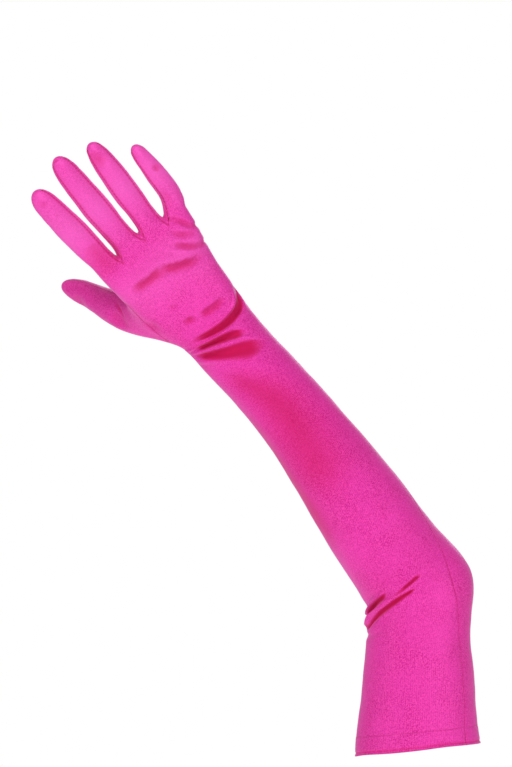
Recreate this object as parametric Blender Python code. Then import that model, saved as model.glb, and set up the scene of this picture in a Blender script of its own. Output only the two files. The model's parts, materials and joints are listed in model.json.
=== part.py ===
"""A long satin glove for the right hand, held in the form that it has on a bent arm.

Metres, +Z up. The origin is the centre of the arm opening, at the hem's edge. The upper arm stands upright, the
elbow bends the forearm towards -X, and the back of the hand faces -Y. The glove's surface is one net of four-sided
faces. It is cut along its real seams into panels: the trank (back, palm and sleeve in one), the set-in thumb, three
fourchettes between the fingers and the turned hem. Each panel is then given the thickness of its cloth.
"""

import math

import bmesh
import bpy
import numpy as np
from mathutils import Vector

# Lengths, in metres.
UPPER_ARM_LENGTH = 0.1198  # from the hem's edge to the corner of the elbow
FOREARM_LENGTH = 0.246  # from the corner of the elbow to the wrist
PALM_LENGTH = 0.0935  # from the wrist to the fork of the middle finger
FINGER_LENGTH = 0.0865  # the middle finger, from the fork to the tip
THUMB_LENGTH = 0.100  # from the middle of the hole that it is set in, before its bend
HEM_HEIGHT = 0.0127
ELBOW_RADIUS = 0.060  # of the arm's middle line
WRIST_RADIUS = 0.042

# Widths in the plane of the bent arm.
CUFF_WIDTH = 0.092
ELBOW_WIDTH = 0.078
FOREARM_WIDTH = 0.076
WRIST_WIDTH = 0.057
PALM_WIDTH = 0.085
FINGER_WIDTH = 0.0202
THUMB_WIDTH = 0.0235
FOLD_WIDTH = 0.0032
FOLD_HEIGHT = 0.0022

# Angles, in degrees.
ELBOW_BEND = 37.0
WRIST_BEND_BACK = 17.0
WRIST_BEND_SIDE = 4.0
HEM_TILT_SIDE = 6.0  # the outer side of the opening lies higher
HEM_TILT_BACK = 4.0  # and its back

# Cloth.
CLOTH = 0.0010
HEM_CLOTH = 0.0018  # the hem is turned up, so it is two thicknesses
HEM_PROUD = 0.0004  # how far the hem stands out of the sleeve
SEAM_GAP = 0.0003  # between the edges of two panels

# Levels of smoothing, each of which halves the faces.
SMOOTHING = 1

PINK = (0.76, 0.04, 0.36, 1.0)

# The arm's cross-sections. Along each stretch, a share of its length; the widths and depths are shares of the named
# width. Outer is the elbow's side, inner the crease's and the thumb's, back the side of the hand's back. Seam is the
# side seam's angle from the outer side towards the back, in degrees.
SECTIONS = (
    # stretch, share, width, outer, inner, back, front, seam
    ("upper_arm", 0.00, CUFF_WIDTH, 0.510, 0.505, 0.445, 0.445, 38),
    ("upper_arm", 0.11, CUFF_WIDTH, 0.490, 0.500, 0.435, 0.435, 37),
    ("upper_arm", 0.45, CUFF_WIDTH, 0.472, 0.447, 0.420, 0.420, 34),
    ("upper_arm", 1.00, CUFF_WIDTH, 0.432, 0.408, 0.400, 0.400, 38),
    ("elbow", 0.50, ELBOW_WIDTH, 0.590, 0.470, 0.465, 0.465, 46),
    ("forearm", 0.00, FOREARM_WIDTH, 0.530, 0.500, 0.455, 0.455, 32),
    ("forearm", 0.14, FOREARM_WIDTH, 0.522, 0.480, 0.450, 0.450, 10),
    ("forearm", 0.30, FOREARM_WIDTH, 0.507, 0.425, 0.435, 0.435, 0),
    ("forearm", 0.50, FOREARM_WIDTH, 0.473, 0.330, 0.390, 0.390, 0),
    ("forearm", 0.72, WRIST_WIDTH, 0.560, 0.415, 0.430, 0.430, 0),
    ("forearm", 1.00, WRIST_WIDTH, 0.455, 0.530, 0.360, 0.360, 0),
    ("wrist", 0.50, WRIST_WIDTH, 0.462, 0.530, 0.345, 0.350, 0),
    ("palm", 0.08, PALM_WIDTH, 0.322, 0.405, 0.205, 0.250, 0),
    ("palm", 0.30, PALM_WIDTH, 0.338, 0.475, 0.185, 0.265, 0),
    ("palm", 0.65, PALM_WIDTH, 0.388, 0.498, 0.170, 0.200, 0),
    ("palm", 1.00, PALM_WIDTH, 0.468, 0.518, 0.130, 0.135, 0),
)

# Rings of the net, as shares of each stretch; the upper arm's is counted from the hem's inner edge. The bends have
# more, for their folds.
RINGS = (
    ("upper_arm", (0.14, 0.80)),
    ("elbow", (0.02, 0.19, 0.36, 0.53, 0.72, 0.95)),
    ("forearm", (0.17, 0.46, 0.74, 0.88, 0.96)),
    ("wrist", (0.3, 0.9)),
    ("palm", (0.09, 0.30, 0.58, 1.0)),
)

# Where the palm ends between the fingers: from the thumb's side to the little finger's, a share of the palm's half
# width (negative towards the thumb), and how far short of the middle fork it lies, as a share of the palm's length.
FORKS = (
    # across, short
    (-1.00, 0.015),
    (-0.56, 0.050),
    (0.00, 0.015),
    (0.55, 0.060),
    (1.00, 0.125),
)

# The fingers. Length and width are shares of the named ones, and tip is the share of its width that a finger has left
# at its tip. Splay is the angle from the palm's line towards the thumb, lean that of the outer two thirds. Curl is
# the bend towards the palm at the knuckle and at each of the two joints, in degrees.
FINGERS = (
    # name, length, width, tip, splay, lean, knuckle curl, joint curl
    ("index", 0.915, 1.00, 1.00, 5.0, 4.0, 9, 5),
    ("middle", 1.000, 1.00, 0.97, 0.0, -1.5, 10, 5),
    ("ring", 0.908, 0.95, 0.96, -4.5, -4.5, 11, 6),
    ("little", 0.728, 0.85, 0.80, -29.0, -2.5, 8, 8),
)

# A finger's form along its length: width and depth as shares of the finger's width, and the half angle of the
# strip between it and the next finger, in degrees.
FINGER_SECTIONS = (
    # share, width, depth, strip
    (0.07, 0.90, 0.86, 40),
    (0.26, 0.96, 0.90, 40),
    (0.46, 0.99, 0.85, 37),
    (0.67, 0.91, 0.77, 31),
    (0.86, 0.81, 0.67, 23),
    (0.96, 0.56, 0.46, 15),
)

# The thumb's middle line, in the palm's own directions: shares of its length towards the fingers, away from the
# palm on the thumb's side, and behind the palm. Then its thickness, as shares of the thumb's width.
THUMB_SECTIONS = (
    # fingers, side, behind, tall, deep
    (0.060, 0.105, 0.170, 1.25, 1.15),
    (0.188, 0.182, 0.353, 1.04, 1.00),
    (0.272, 0.233, 0.500, 0.88, 0.88),
    (0.355, 0.286, 0.642, 0.80, 0.78),
    (0.435, 0.350, 0.775, 0.56, 0.54),
)
THUMB_RINGS = (0, 2)  # the palm's rings between which the thumb is set in

# Folds: the width and the height of each, as shares of the named ones, and the places that it runs through: a share
# of a stretch, and an angle from the outer side towards the back. A height below nothing is a valley.
FOLDS = (
    # width, height, places: at the crease of the elbow, on the side of the hand's back
    (0.95, -1.0, (("elbow", 0.08, 176), ("elbow", 0.40, 148), ("elbow", 0.71, 123))),
    (0.95, -0.9, (("elbow", 0.56, 112), ("elbow", 0.75, 70))),
    (0.95, -0.9, (("upper_arm", 0.96, 178), ("elbow", 0.12, 142), ("elbow", 0.46, 109), ("elbow", 0.60, 87))),
    (1.00, 1.6, (("upper_arm", 0.99, 186), ("elbow", 0.24, 145), ("elbow", 0.52, 118))),
    (1.10, 1.9, (("upper_arm", 0.91, 190), ("upper_arm", 0.96, 150), ("elbow", 0.22, 118))),
    (1.30, -1.9, (("upper_arm", 0.83, 192), ("upper_arm", 0.88, 150))),
    # the same crease, on the other side
    (1.00, -0.9, (("elbow", 0.10, 184), ("elbow", 0.34, 216), ("elbow", 0.66, 246))),
    (1.05, 1.1, (("upper_arm", 0.95, 188), ("elbow", 0.12, 214), ("elbow", 0.42, 244))),
    (1.05, -0.9, (("upper_arm", 0.90, 196), ("elbow", 0.04, 226), ("elbow", 0.24, 254))),
    # across the back of the wrist
    (1.00, -1.0, (("palm", 0.06, 16), ("wrist", 0.52, 38), ("wrist", 0.55, 82), ("wrist", 0.64, 123), ("wrist", 0.95, 164))),
    (1.00, 0.65, (("wrist", 0.30, 170), ("wrist", 0.25, 114), ("wrist", 0.02, 52))),
    (1.00, -0.8, (("wrist", 0.20, 164), ("forearm", 0.985, 110), ("forearm", 0.965, 70))),
    (1.05, -0.65, (("forearm", 0.985, 168), ("forearm", 0.945, 105), ("forearm", 0.89, 47))),
    (2.80, -0.65, (("forearm", 0.95, 165), ("forearm", 0.86, 113), ("forearm", 0.73, 54))),
    # across the front of the wrist
    (1.60, -0.45, (("wrist", 0.60, 210), ("wrist", 0.40, 265), ("wrist", 0.60, 330))),
)

FINGER_COUNT = len(FINGERS)
BACK_COLUMNS = 2 * FINGER_COUNT + 1
COLUMNS = 2 * BACK_COLUMNS + 2
OUTER_CORNER = 3  # of a finger's ring of eight points, the one on the little finger's side

# Columns of a ring of the arm: the inner side's, the back's from the thumb to the little finger, the outer side's,
# and the front's from the little finger to the thumb.


def inner_column():
    return 0


def back_column(i):
    return 1 + i


def outer_column():
    return BACK_COLUMNS + 1


def front_column(i):
    return COLUMNS - 1 - i


def cage_swell(sides):
    """Smoothing draws a ring of this many sides in towards its middle; its cage is this much larger."""
    return 1 / (2 / 3 + math.cos(2 * math.pi / sides) / 3)


def turn(vector, axis, degrees):
    """The vector turned about the axis."""
    a = math.radians(degrees)
    axis = axis / np.linalg.norm(axis)
    return vector * math.cos(a) + np.cross(axis, vector) * math.sin(a) + axis * (axis @ vector) * (1 - math.cos(a))


class Frame:
    """A point of the arm's middle line, with the directions along it, to its outer side and to its back."""

    def __init__(self, centre, along, outer, back):
        self.centre, self.along, self.outer, self.back = centre, along, outer, back

    def moved(self, length, degrees=0.0, axis=None):
        """The frame that lies further along: straight, or round an arc about the axis."""
        if not degrees:
            return Frame(self.centre + self.along * length, self.along, self.outer, self.back)
        axis = axis / np.linalg.norm(axis)
        radius = length / math.radians(degrees)
        to_middle = np.cross(axis, self.along) * radius
        middle = self.centre + to_middle
        return Frame(
            middle + turn(-to_middle, axis, degrees),
            turn(self.along, axis, degrees),
            turn(self.outer, axis, degrees),
            turn(self.back, axis, degrees),
        )


class Arm:
    """The arm's middle line: upper arm, elbow, forearm, wrist and palm, one after the other."""

    def __init__(self):
        elbow_corner = ELBOW_RADIUS * math.tan(math.radians(ELBOW_BEND / 2))
        wrist_bend = math.hypot(WRIST_BEND_BACK, WRIST_BEND_SIDE)
        wrist_corner = WRIST_RADIUS * math.tan(math.radians(wrist_bend / 2))
        self.stretches = {
            "upper_arm": (UPPER_ARM_LENGTH - elbow_corner, 0.0, None),
            "elbow": (ELBOW_RADIUS * math.radians(ELBOW_BEND), ELBOW_BEND, lambda f: f.back),
            "forearm": (FOREARM_LENGTH - elbow_corner - wrist_corner, 0.0, None),
            "wrist": (
                WRIST_RADIUS * math.radians(wrist_bend),
                wrist_bend,
                lambda f: f.outer * WRIST_BEND_BACK + f.back * WRIST_BEND_SIDE,
            ),
            "palm": (PALM_LENGTH - wrist_corner, 0.0, None),
        }
        self.starts, self.frames = {}, {}
        frame = Frame(np.zeros(3), np.array([0.0, 0, 1]), np.array([1.0, 0, 0]), np.array([0.0, -1, 0]))
        station = 0.0
        for name, (length, degrees, axis) in self.stretches.items():
            self.starts[name], self.frames[name] = station, frame
            frame = frame.moved(length, degrees, axis(frame) if axis else None)
            station += length
        self.end = station

    def station(self, stretch, share):
        """The distance along the middle line."""
        return self.starts[stretch] + self.stretches[stretch][0] * share

    def frame(self, station):
        """The frame at a distance along the middle line."""
        for name, start in reversed(self.starts.items()):
            if station >= start or name == "upper_arm":
                length, degrees, axis = self.stretches[name]
                first = self.frames[name]
                return first.moved(station - start, degrees * (station - start) / length, axis(first) if axis else None)


def smooth_line(xs, ys, x):
    """A smooth curve through the rows of a table, read at x."""
    xs, ys = np.asarray(xs, float), np.asarray(ys, float)
    slopes = np.gradient(ys, xs)
    x = min(max(x, xs[0]), xs[-1])
    i = int(np.clip(np.searchsorted(xs, x) - 1, 0, len(xs) - 2))
    step = xs[i + 1] - xs[i]
    t = (x - xs[i]) / step
    return (
        ys[i] * (2 * t**3 - 3 * t**2 + 1)
        + ys[i + 1] * (3 * t**2 - 2 * t**3)
        + slopes[i] * step * (t**3 - 2 * t**2 + t)
        + slopes[i + 1] * step * (t**3 - t**2)
    )


def share_in_palm(arm, station):
    """0 up to the wrist, and 1 at the forks of the fingers."""
    start = arm.starts["palm"]
    return min(max((station - start) / (arm.end - start), 0.0), 1.0)


def section_at(arm, station):
    """Half widths to the outer and inner side, half depths to the back and front, and the seam's angle."""
    stations = [arm.station(row[0], row[1]) for row in SECTIONS]
    sizes = [[row[2] * share for share in row[3:7]] for row in SECTIONS]
    seam = smooth_line(stations, [row[7] for row in SECTIONS], station)
    return *(smooth_line(stations, [size[i] for size in sizes], station) for i in range(4)), seam


def arm_ring(arm, station):
    """The points of a ring of the sleeve or the palm."""
    frame = arm.frame(station)
    outer, inner, back, front, seam = section_at(arm, station)
    spread = share_in_palm(arm, station)
    step = 360 / COLUMNS
    across_forks = [row[0] for row in FORKS]
    points = [None] * COLUMNS

    def place(column, degrees, across=None):
        """One point. In the palm its place across the hand comes from the fingers."""
        a = math.radians(degrees)
        c, s = math.cos(a), math.sin(a)
        if across is not None:
            c = c * (1 - spread) + across * spread
            round_depth = math.sqrt(max(1 - c * c, 0))
            flat_depth = (1 - abs(c) ** 3.2) ** (1 / 3.2) if abs(c) < 1 else 0
            s = math.copysign(round_depth * (1 - spread) + flat_depth * spread, s)
        point = frame.centre + frame.outer * c * (outer if c > 0 else inner)
        point = point + frame.back * s * (back if s > 0 else front)
        offset = point - frame.centre
        tilt = offset @ frame.outer * HEM_TILT_SIDE + offset @ frame.back * HEM_TILT_BACK
        point = point + frame.along * math.radians(tilt) * max(1 - station / UPPER_ARM_LENGTH, 0)
        short = smooth_line(across_forks, [row[1] for row in FORKS], c)
        points[column] = point - frame.along * short * PALM_LENGTH * spread

    turned = seam * (1 - spread)
    place(inner_column(), 180 + turned)
    place(outer_column(), turned)
    for i in range(BACK_COLUMNS):
        across = np.interp(i, range(0, BACK_COLUMNS, 2), across_forks) * (1 - 0.06 * spread)
        place(back_column(i), 180 - step * (i + 1) + turned, across)
        place(front_column(i), 180 + step * (i + 1) + turned, across)
    swell = cage_swell(COLUMNS)
    return [frame.centre + (point - frame.centre) * swell for point in points]


class Net:
    """Points, and four-sided faces that each belong to a panel."""

    def __init__(self):
        self.points, self.stations, self.faces, self.panels = [], [], [], []
        self.seams = set()

    def add(self, point, station):
        self.points.append(np.array(point, float))
        self.stations.append(station)
        return len(self.points) - 1

    def ring(self, points, station):
        return [self.add(point, station) for point in points]

    def face(self, corners, panel):
        self.faces.append(tuple(corners))
        self.panels.append(panel)

    def join(self, first, second, panel_of):
        """Faces between two rings. panel_of names the panel of each side, or None for an opening."""
        n = len(first)
        for k in range(n):
            panel = panel_of(k)
            if panel:
                self.face((first[k], first[(k + 1) % n], second[(k + 1) % n], second[k]), panel)

    def seam(self, corners):
        """A seam inside one panel, along these points."""
        self.seams |= {frozenset(pair) for pair in zip(corners, corners[1:])}

    def close(self, ring, across, side, bulge, panel):
        """Closes a ring by a grid of faces. The ring starts at a corner, and runs across it first."""
        grid = {}
        for i in range(across + 1):
            grid[i, 0] = ring[i]
            grid[i, side] = ring[(2 * across + side - i) % len(ring)]
        for j in range(side + 1):
            grid[across, j] = ring[across + j]
            grid[0, j] = ring[-j] if j else ring[0]
        points = self.points
        centre = np.mean([points[i] for i in ring], axis=0)
        for i in range(1, across):
            for j in range(1, side):
                u, v = i / across, j / side
                point = (
                    (1 - v) * points[grid[i, 0]] + v * points[grid[i, side]]
                    + (1 - u) * points[grid[0, j]] + u * points[grid[across, j]]
                ) / 2
                grid[i, j] = self.add((point + centre) / 2 + bulge, self.stations[ring[0]])
        for i in range(across):
            for j in range(side):
                self.face((grid[i, j], grid[i + 1, j], grid[i + 1, j + 1], grid[i, j + 1]), panel)
        return grid


def ring_stations(arm):
    """The distance along the middle line of each ring, and the number of the palm's first."""
    stations = [0.0, HEM_HEIGHT]
    for stretch, shares in RINGS:
        if stretch == "palm":
            first_of_palm = len(stations)
        start = HEM_HEIGHT if stretch == "upper_arm" else arm.station(stretch, 0)
        stations += [start + share * (arm.station(stretch, 1) - start) for share in shares]
    return stations, first_of_palm


def arm_rings(net, arm):
    """The rings of the sleeve and the palm, joined from the hem to the forks. Returns the palm's."""
    stations, first_of_palm = ring_stations(arm)
    rings = [net.ring(arm_ring(arm, station), station) for station in stations]
    thumb_columns = {front_column(0), front_column(1), front_column(2), inner_column()}
    first, last = (first_of_palm + number for number in THUMB_RINGS)
    for n, (a, b) in enumerate(zip(rings, rings[1:])):
        sleeve = "trank" if n else "hem_band"
        open_columns = thumb_columns if first <= n < last else ()
        net.join(a, b, lambda k: None if k in open_columns else sleeve)
    net.seam([ring[outer_column()] for ring in rings])
    return rings[first_of_palm:]


def thumb_hole(palm):
    """The points round the hole that the thumb is set in, from its front corner nearest the wrist."""
    first, last = THUMB_RINGS
    low, high = palm[first], palm[last]
    near = [front_column(2), front_column(1), front_column(0), inner_column(), back_column(0)]
    hole = [low[k] for k in near]
    hole += [palm[i][back_column(0)] for i in range(first + 1, last)]
    hole += [high[k] for k in reversed(near)]
    hole += [palm[i][front_column(2)] for i in range(last - 1, first, -1)]
    return hole


def finger_directions(frame, splay, curl):
    """A finger's direction along itself, to its outer side and to its back."""
    along = turn(frame.along, frame.back, splay)
    outer = turn(frame.outer, frame.back, splay)
    along, back = turn(along, outer, -curl), turn(frame.back, outer, -curl)
    return along, outer, back


def make_finger(net, arm, palm, forks, number):
    """One finger: rings from the palm's edge to a closed tip."""
    name, length, width, tip, splay, lean, knuckle, joint = FINGERS[number]
    length, width = length * FINGER_LENGTH, width * FINGER_WIDTH
    frame = arm.frame(arm.end)
    base = palm[-1]
    left, right = 2 * number, 2 * number + 2
    loop = [base[back_column(i)] for i in range(left, right + 1)] + [forks[number + 1]]
    loop += [base[front_column(i)] for i in range(right, left - 1, -1)] + [forks[number]]
    inner_strip = "fourchette_" + "_".join((FINGERS[number - 1][0], name)) if number else "trank"
    outer_strip = "fourchette_" + "_".join((name, FINGERS[number + 1][0])) if number < FINGER_COUNT - 1 else "trank"
    panels = ["trank"] * 2 + [outer_strip] * 2 + ["trank"] * 2 + [inner_strip] * 2
    centre = np.mean([net.points[i] for i in (loop[1], loop[5])], axis=0)
    ring, before, swell = loop, 0.0, cage_swell(len(loop))
    tips = [row[0] for row in FINGER_SECTIONS]
    for share, wide, deep, strip in FINGER_SECTIONS:
        bent = min(max((share - 0.30) / 0.12, 0), 1)
        curl = knuckle * min(share / 0.2, 1) + joint * bent + joint * min(max((share - 0.62) / 0.1, 0), 1)
        along, outer, back = finger_directions(frame, splay * (1 - bent) + lean * bent, curl)
        centre = centre + along * (share - before) * length
        before = share
        angles = [180 - strip, 90, strip, 0, -strip, -90, strip - 180, 180]
        points = []
        for degrees in angles:
            a = math.radians(degrees)
            size = (1 - share + share * tip) * width / 2
            c, s = math.cos(a) * wide * size, math.sin(a) * deep * size
            points.append(centre + (outer * c + back * s) * swell)
        nxt = net.ring(points, arm.end + share * length)
        net.join(ring, nxt, lambda k: panels[k])
        if number == FINGER_COUNT - 1:
            net.seam([ring[OUTER_CORNER], nxt[OUTER_CORNER]])
        ring = nxt
    grid = net.close(ring, 2, 2, along * (1 - tips[-1]) * length * 1.6, "trank")
    if number == FINGER_COUNT - 1:
        net.seam([ring[OUTER_CORNER], grid[1, 1]])


def make_thumb(net, arm, palm):
    """The thumb: rings from the hole in the trank to a closed tip."""
    loop = thumb_hole(palm)
    side = THUMB_RINGS[1] - THUMB_RINGS[0]
    across = len(loop) // 2 - side
    seam_corner = across + side + 1
    frame = arm.frame(arm.starts["palm"])
    start = np.mean([net.points[i] for i in loop], axis=0)
    line = [start]
    for fingers, out, behind, _, _ in THUMB_SECTIONS:
        line.append(start + (frame.along * fingers - frame.outer * out - frame.back * behind) * THUMB_LENGTH)
    ring, swell = loop, cage_swell(len(loop))
    for n, (_, _, _, tall, deep) in enumerate(THUMB_SECTIONS, start=1):
        along = line[min(n + 1, len(line) - 1)] - line[n - 1]
        along = along / np.linalg.norm(along)
        back = frame.back - along * (along @ frame.back)
        back = back / np.linalg.norm(back)
        up = np.cross(along, back)
        points = []
        for k in range(len(loop)):
            a = 2 * math.pi * (k - across - side / 2) / len(loop)
            offset = back * math.cos(a) * deep + up * math.sin(a) * tall
            points.append(line[n] + offset * THUMB_WIDTH / 2 * swell)
        nxt = net.ring(points, arm.starts["palm"])
        net.join(ring, nxt, lambda k: "thumb")
        net.seam([ring[seam_corner], nxt[seam_corner]])
        ring = nxt
    net.close(ring, across, side, along * THUMB_LENGTH * 0.06, "thumb")


def make_net(arm):
    """The whole glove's surface."""
    net = Net()
    palm = arm_rings(net, arm)
    base = palm[-1]
    forks = [base[inner_column()]]
    for row in range(1, FINGER_COUNT):
        back, front = (net.points[base[column(2 * row)]] for column in (back_column, front_column))
        forks.append(net.add((back + front) / 2, arm.end))
    forks.append(base[outer_column()])
    for number in range(FINGER_COUNT):
        make_finger(net, arm, palm, forks, number)
    make_thumb(net, arm, palm)
    return net


def smoothed(net):
    """The net after smoothing, as a bmesh. A face's material number is its panel's place in the names."""
    names = sorted(set(net.panels))
    mesh = bpy.data.meshes.new("net")
    mesh.from_pydata([tuple(point) for point in net.points], [], net.faces)
    for _ in names:
        mesh.materials.append(None)
    mesh.polygons.foreach_set("material_index", [names.index(panel) for panel in net.panels])
    station = mesh.attributes.new("station", "FLOAT", "POINT")
    station.data.foreach_set("value", net.stations)
    for edge in mesh.edges:
        edge.use_seam = frozenset(edge.vertices) in net.seams
    holder = bpy.data.objects.new("net", mesh)
    bpy.context.scene.collection.objects.link(holder)
    smooth = holder.modifiers.new("smooth", "SUBSURF")
    smooth.levels = smooth.render_levels = SMOOTHING
    bm = bmesh.new()
    bm.from_mesh(holder.evaluated_get(bpy.context.evaluated_depsgraph_get()).to_mesh())
    bpy.data.objects.remove(holder)
    bpy.data.meshes.remove(mesh)
    for edge in bm.edges:
        if len({face.material_index for face in edge.link_faces}) > 1:
            edge.seam = True
    return bm, names


def arm_point(arm, station, degrees):
    """A point of the sleeve's surface, at an angle from the outer side towards the back."""
    frame = arm.frame(station)
    outer, inner, back, front, _ = section_at(arm, station)
    c, s = math.cos(math.radians(degrees)), math.sin(math.radians(degrees))
    return frame.centre + frame.outer * c * (outer if c > 0 else inner) + frame.back * s * (back if s > 0 else front)


def add_folds(bm, arm):
    """Moves the surface in and out at its folds."""
    bm.normal_update()
    points = np.array([v.co[:] for v in bm.verts])
    normals = np.array([v.normal[:] for v in bm.verts])
    layer = bm.verts.layers.float["station"]
    stations = np.array([v[layer] for v in bm.verts])
    moved = np.zeros(len(points))
    for width, height, stops in FOLDS:
        rows = [(arm.station(stretch, share), degrees) for stretch, share, degrees in stops]
        steps = np.linspace(0, len(rows) - 1, 10 * len(rows))
        line = np.array([arm_point(arm, *(np.interp(t, range(len(rows)), column) for column in zip(*rows))) for t in steps])
        near = np.full(len(points), 1.0)
        taper = np.zeros(len(points))
        for first, second, t in zip(line, line[1:], steps):
            edge = second - first
            along = np.clip((points - first) @ edge / (edge @ edge), 0, 1)
            away = points - first - along[:, None] * edge
            away = away - normals * np.sum(away * normals, axis=1)[:, None] * 0.8
            distance = np.linalg.norm(away, axis=1)
            closer = distance < near
            near[closer] = distance[closer]
            place = (t + along * (steps[1] - steps[0])) / (len(rows) - 1)
            taper[closer] = np.clip(4 * np.minimum(place + 0.12, 1 - place), 0, 1)[closer]
        moved += height * FOLD_HEIGHT * taper * np.exp(-((near / width / FOLD_WIDTH) ** 2))
    moved *= np.clip((stations - 1.6 * HEM_HEIGHT) / HEM_HEIGHT, 0, 1)
    for vert, normal, distance in zip(bm.verts, normals, moved):
        vert.co += Vector(normal * distance)
    bm.normal_update()


def panel_corners(bm, index):
    """Groups the face corners of one panel into points: a point for each unbroken fan of faces round a vertex."""
    corner = {}
    count = 0
    for vert in bm.verts:
        mine = [face for face in vert.link_faces if face.material_index == index]
        left = set(mine)
        while left:
            fan = [left.pop()]
            for face in fan:
                for edge in face.edges:
                    if vert in edge.verts and not edge.seam:
                        for other in edge.link_faces:
                            if other in left:
                                left.remove(other)
                                fan.append(other)
            for face in fan:
                corner[face.index, vert.index] = count
            count += 1
    return corner, count


def edge_insets(faces, corner, count):
    """How far each point at a seam is drawn back from it, and the pairs of points along the panel's edges."""
    ways = [[] for _ in range(count)]
    rim = []
    for face in faces:
        middle = face.calc_center_median()
        for loop in face.loops:
            if not loop.edge.seam and not loop.edge.is_boundary:
                continue
            a, b = loop.vert, loop.link_loop_next.vert
            ends = corner[face.index, a.index], corner[face.index, b.index]
            rim.append(ends)
            if loop.edge.seam:
                line = (b.co - a.co).normalized()
                inward = middle - a.co
                inward = (inward - line * inward.dot(line)).normalized()
                for end in ends:
                    ways[end].append(inward)
    inset = np.zeros((count, 3))
    for k, found in enumerate(ways):
        total = sum(found, Vector())
        if total.length > 0.3:
            inset[k] = total * (SEAM_GAP / 2 / max(total.length_squared / len(found), 0.35))
    return inset, rim


def make_panel(bm, index, name, proud, cloth):
    """One panel as a closed solid: its outer surface, its inner surface and the edges between them."""
    corner, count = panel_corners(bm, index)
    faces = [face for face in bm.faces if face.material_index == index]
    place, normal = np.zeros((count, 3)), np.zeros((count, 3))
    outside = []
    for face in faces:
        outside.append(tuple(corner[face.index, vert.index] for vert in face.verts))
        for vert, k in zip(face.verts, outside[-1]):
            place[k], normal[k] = vert.co, vert.normal
    inset, rim = edge_insets(faces, corner, count)
    place += inset
    points = np.concatenate([place + normal * proud, place + normal * (proud - cloth)])
    solid = outside + [tuple(k + count for k in reversed(loop)) for loop in outside]
    solid += [(b, a, a + count, b + count) for a, b in rim]
    mesh = bpy.data.meshes.new(name)
    mesh.from_pydata(points.tolist(), [], solid)
    mesh.shade_smooth()
    mesh.set_sharp_from_angle(angle=math.radians(60))
    panel = bpy.data.objects.new(name, mesh)
    bpy.context.scene.collection.objects.link(panel)
    return panel


def make_material(name, colour):
    """A satin cloth of one colour."""
    material = bpy.data.materials.new(name)
    material.use_nodes = True
    shader = material.node_tree.nodes["Principled BSDF"]
    shader.inputs["Base Color"].default_value = colour
    shader.inputs["Roughness"].default_value = 0.38
    shader.inputs["Sheen Weight"].default_value = 0.4
    return material


def main():
    for old in list(bpy.data.objects):
        bpy.data.objects.remove(old)
    arm = Arm()
    bm, names = smoothed(make_net(arm))
    add_folds(bm, arm)
    for index, name in enumerate(names):
        proud, cloth = (HEM_PROUD, HEM_CLOTH) if name == "hem_band" else (0.0, CLOTH)
        panel = make_panel(bm, index, name, proud, cloth)
        panel.data.materials.append(make_material(name + "_satin", PINK))
    bm.free()


main()
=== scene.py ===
"""The looks of the long satin glove: panels of cloth in detail, a satin, a pale studio and the camera.

Metres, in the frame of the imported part. The surface is made from the same rings as the part's, more closely
spaced and with finer folds, and cut along the same seams into the same panels, which roll in at each seam.
"""

import json
from math import copysign, cos, exp, hypot, pi, radians, sin, sqrt, tan

import bmesh
import bpy
import numpy as np
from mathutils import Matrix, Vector, kdtree, noise
from mathutils.bvhtree import BVHTree

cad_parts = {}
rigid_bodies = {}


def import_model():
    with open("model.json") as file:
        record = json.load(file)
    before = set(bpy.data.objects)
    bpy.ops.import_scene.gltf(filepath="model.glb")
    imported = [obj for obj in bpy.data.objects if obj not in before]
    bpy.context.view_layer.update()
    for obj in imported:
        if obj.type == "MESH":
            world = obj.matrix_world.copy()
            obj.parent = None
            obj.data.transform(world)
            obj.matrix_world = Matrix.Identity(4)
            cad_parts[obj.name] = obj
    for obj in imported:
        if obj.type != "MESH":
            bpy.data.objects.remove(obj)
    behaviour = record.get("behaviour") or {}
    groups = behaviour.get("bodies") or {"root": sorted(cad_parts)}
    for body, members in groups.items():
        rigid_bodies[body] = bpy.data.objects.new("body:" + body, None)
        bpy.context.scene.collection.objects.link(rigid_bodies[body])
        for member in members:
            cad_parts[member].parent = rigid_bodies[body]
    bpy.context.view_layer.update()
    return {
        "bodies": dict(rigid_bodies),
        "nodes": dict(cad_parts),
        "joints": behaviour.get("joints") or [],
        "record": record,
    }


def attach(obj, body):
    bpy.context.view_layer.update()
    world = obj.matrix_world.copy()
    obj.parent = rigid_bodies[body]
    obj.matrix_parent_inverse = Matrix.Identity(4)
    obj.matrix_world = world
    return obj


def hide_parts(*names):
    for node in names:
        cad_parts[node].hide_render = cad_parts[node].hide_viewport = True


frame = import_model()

# Lengths, in metres.
UPPER_ARM_LENGTH = 0.1198  # from the hem's edge to the corner of the elbow
FOREARM_LENGTH = 0.246  # from the corner of the elbow to the wrist
PALM_LENGTH = 0.0935  # from the wrist to the fork of the middle finger
FINGER_LENGTH = 0.0865  # the middle finger, from the fork to the tip
THUMB_LENGTH = 0.100  # from the middle of the hole that it is set in, before its bend
HEM_HEIGHT = 0.0127
ELBOW_RADIUS = 0.060  # of the arm's middle line
WRIST_RADIUS = 0.042

# Widths in the plane of the bent arm.
CUFF_WIDTH = 0.092
ELBOW_WIDTH = 0.078
FOREARM_WIDTH = 0.076
WRIST_WIDTH = 0.057
PALM_WIDTH = 0.085
FINGER_WIDTH = 0.0202
THUMB_WIDTH = 0.0235

# Angles, in degrees.
ELBOW_BEND = 37.0
WRIST_BEND_BACK = 17.0
WRIST_BEND_SIDE = 4.0
HEM_TILT_SIDE = 6.0  # the outer side of the opening lies higher
HEM_TILT_BACK = 4.0  # and its back

# Cloth.
CLOTH = 0.0006  # its thickness
HEM_CLOTH = 0.0014  # the hem is turned up, so it is two thicknesses
HEM_PROUD = 0.00018  # how far the hem stands out of the sleeve
COLUMN = 0.008  # the cloth's width between two columns of the net, for its weave

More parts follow.
